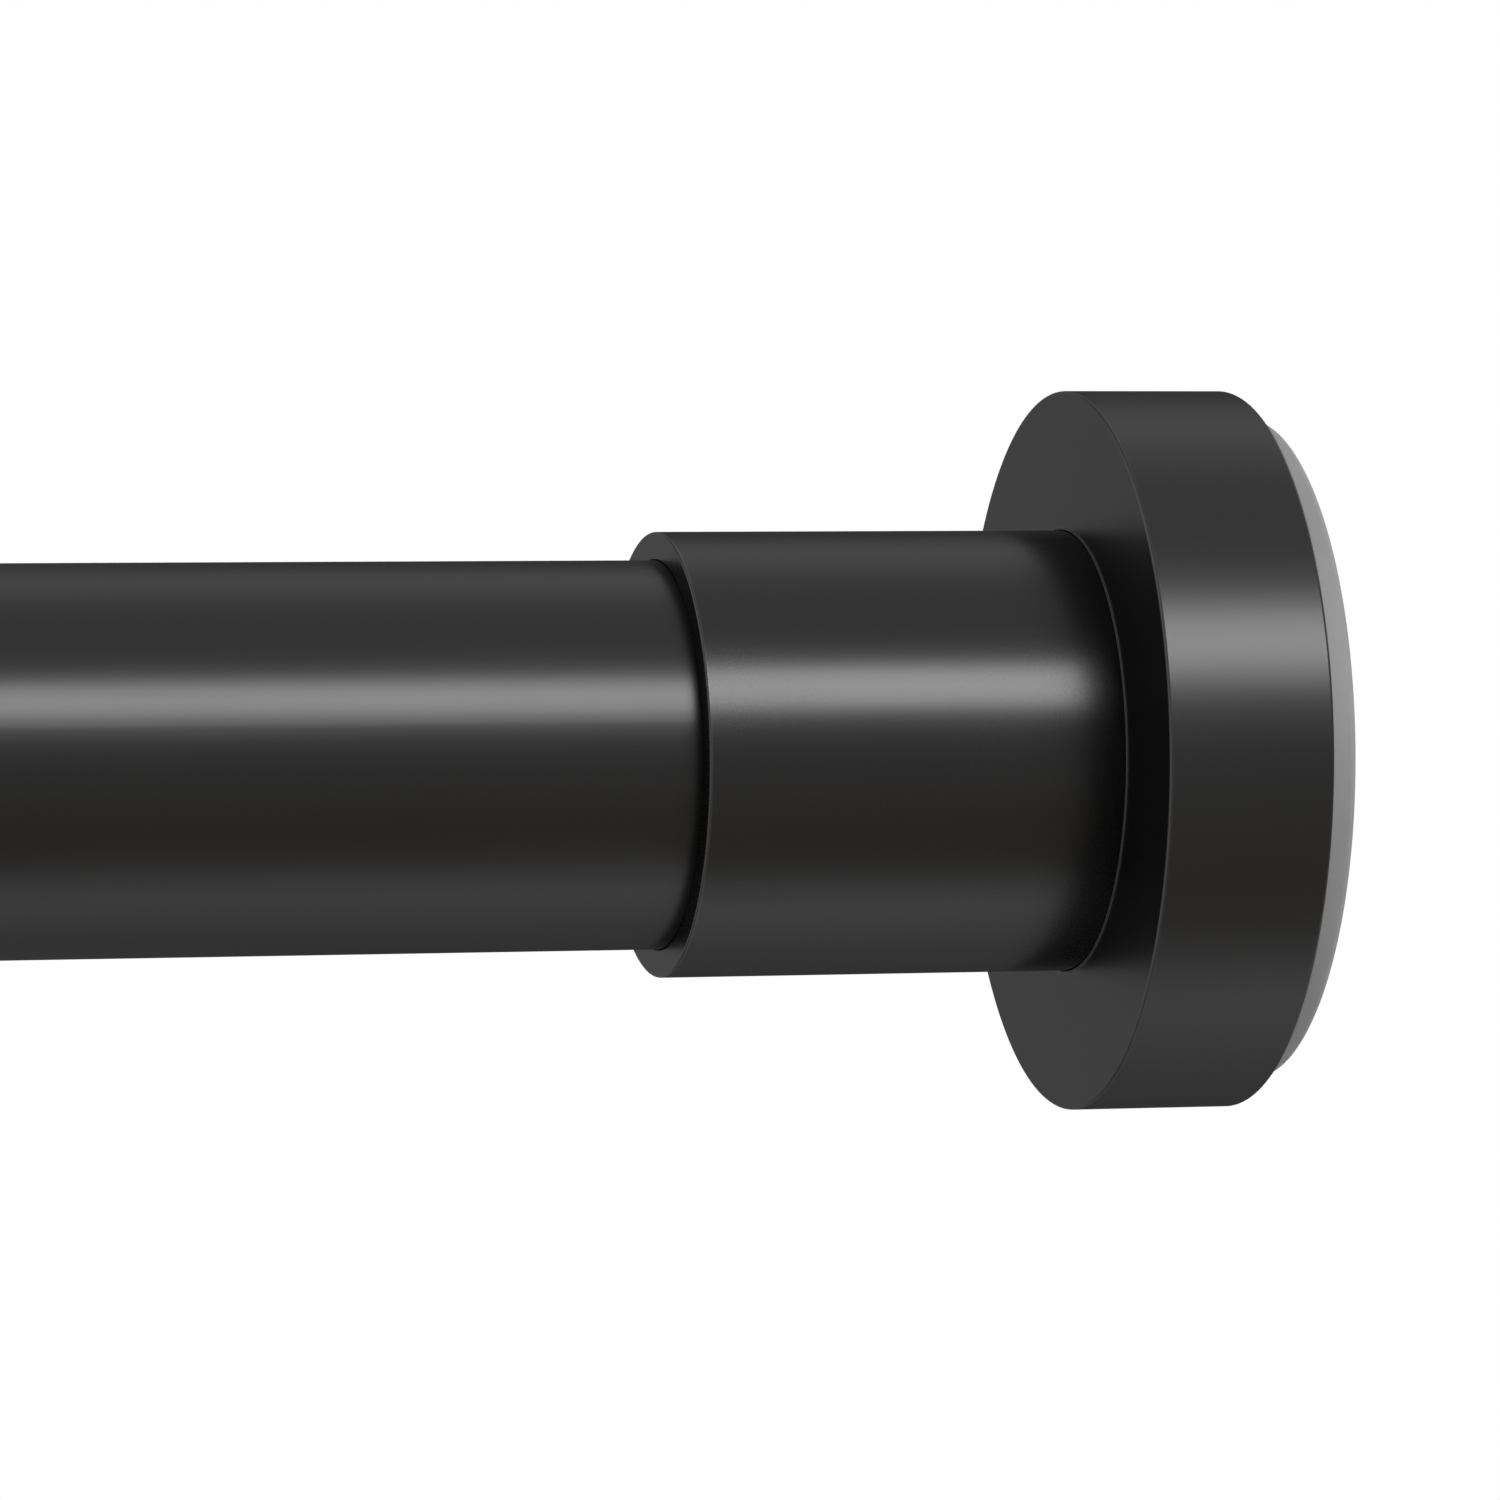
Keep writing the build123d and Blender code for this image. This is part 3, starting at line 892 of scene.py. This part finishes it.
# Stage: a pale floor under the rod, lifted towards white for the camera alone
def make_floor():
    bm = bmesh.new()
    bmesh.ops.create_circle(bm, cap_ends=True, segments=128, radius=5.5)
    mesh = bpy.data.meshes.new("floor")
    bm.to_mesh(mesh)
    bm.free()
    floor = bpy.data.objects.new("floor", mesh)
    floor.location = (-0.38, 0, -0.6)
    bpy.context.scene.collection.objects.link(floor)
    made, tree, principled = shader("floor", (0.80, 0.80, 0.80), roughness=0.9, specular=0.1)
    grain = noise(tree, per_metre=30, detail=4.0)
    colour = tint(tree, grain, dark=(0.79, 0.79, 0.79), light=(0.81, 0.81, 0.81))
    path = tree.nodes.new("ShaderNodeLightPath")
    lift = product(tree, path.outputs["Is Camera Ray"], FLOOR_LIFT)
    tree.links.new(colour, principled.inputs["Base Color"])
    principled.inputs["Emission Color"].default_value = (*WHITE, 1)
    tree.links.new(lift, principled.inputs["Emission Strength"])
    mesh.materials.append(made)
    floor.visible_glossy = False


make_floor()


# Light: one long soft box in front and above, and a plain soft room around
def make_lamp(name, towards, distance, length, height, radiance):
    """An area light seen from the photographed end in a direction, with its radiance in plain units."""
    data = bpy.data.lights.new(name, "AREA")
    data.shape = "RECTANGLE"
    data.size = length
    data.size_y = height
    data.energy = radiance * math.pi * length * height
    lamp = bpy.data.objects.new(name, data)
    aim = Vector((-0.05, 0, 0))
    away = Vector(towards).normalized()
    across = Vector((1, 0, 0)) - away * away.x
    across.normalize()
    turn = Matrix((across, away.cross(across), away)).transposed().to_4x4()
    lamp.matrix_world = Matrix.Translation(aim + away * distance) @ turn
    lamp.visible_camera = False
    bpy.context.scene.collection.objects.link(lamp)


make_lamp("key", towards=(0.33, -0.80, 0.54), distance=19.8, length=12.60, height=6.96, radiance=8.7)


# What gloss reflects, by the angle round the rod from straight ahead, upwards: degrees, level, warmth
ROOM = (
    (-180, 0.05, 0),
    (-159, 0.07, 0),
    (-143, 0.15, 0),
    (-124, 0.28, 0),
    (-103, 0.62, 0),
    (-86, 1.00, 0),
    (-72, 0.75, 0),
    (-60, 0.36, 0.08),
    (-34, 0.38, 0.08),
    (-20, 0.48, 0.05),
    (0, 0.51, 0),
    (60, 0.57, 0),
    (78, 0.62, 0),
    (94, 0.55, 0),
    (112, 0.66, 0),
    (126, 0.58, 0),
    (138, 0.28, 0),
    (152, 0.08, 0),
    (180, 0.05, 0),
)


def glossy_room(tree, x, y, z):
    """The room that gloss reflects: an arch of light round the rod, dimmed towards -X, and pale patches."""
    turn = maths(tree, "ARCTAN2", z, product(tree, y, -1.0))
    turn = maths(tree, "ADD", maths(tree, "DIVIDE", turn, TAU), 0.5)
    arch = light_ramp(tree, turn, [(degrees / 360 + 0.5, level, warmth) for degrees, level, warmth in ROOM])
    shade = spread(tree, x, 0.10, 1.0, start=-0.22, end=0.0)
    behind = product(
        tree,
        spread(tree, x, 0.23, 0.0, start=-0.15, end=0.20),
        spread(tree, y, 0.0, 1.0, start=0.75, end=0.93),
    )
    corner = product(
        tree,
        spread(tree, x, 0.9, 0.0, start=-0.75, end=-0.40),
        spread(tree, z, 0.75, 1.15, start=-0.6, end=0.6),
    )
    back = product(
        tree,
        spread(tree, x, 0.0, 0.8, start=0.45, end=0.65),
        spread(tree, y, 0.0, 1.0, start=0.0, end=0.5),
        spread(tree, z, 0.25, 1.0, start=-0.5, end=0.6),
    )
    shaded = tree.nodes.new("ShaderNodeVectorMath")
    shaded.operation = "SCALE"
    tree.links.new(arch, shaded.inputs[0])
    tree.links.new(shade, shaded.inputs["Scale"])
    room = tree.nodes.new("ShaderNodeVectorMath")
    tree.links.new(shaded.outputs["Vector"], room.inputs[0])
    tree.links.new(maths(tree, "ADD", maths(tree, "ADD", behind, corner), back), room.inputs[1])
    return room.outputs["Vector"]


def make_world():
    """White to the camera, brighter overhead for even light, and a plain room for gloss to reflect."""
    world = bpy.data.worlds.new("world")
    bpy.context.scene.world = world
    world.use_nodes = True
    tree = world.node_tree
    x, y, z = coordinates(tree, "Generated")
    high = maths(tree, "MAXIMUM", z, 0.0)
    even = maths(tree, "ADD", product(tree, high, high, 0.8), 0.08)
    path = tree.nodes.new("ShaderNodeLightPath")
    lit = mixed_colour(tree, path.outputs["Is Glossy Ray"], even, glossy_room(tree, x, y, z))
    seen_white = maths(tree, "MAXIMUM", path.outputs["Is Camera Ray"], path.outputs["Is Transmission Ray"])
    seen = mixed_colour(tree, seen_white, lit, WHITE)
    tree.links.new(seen, tree.nodes["Background"].inputs["Color"])


make_world()
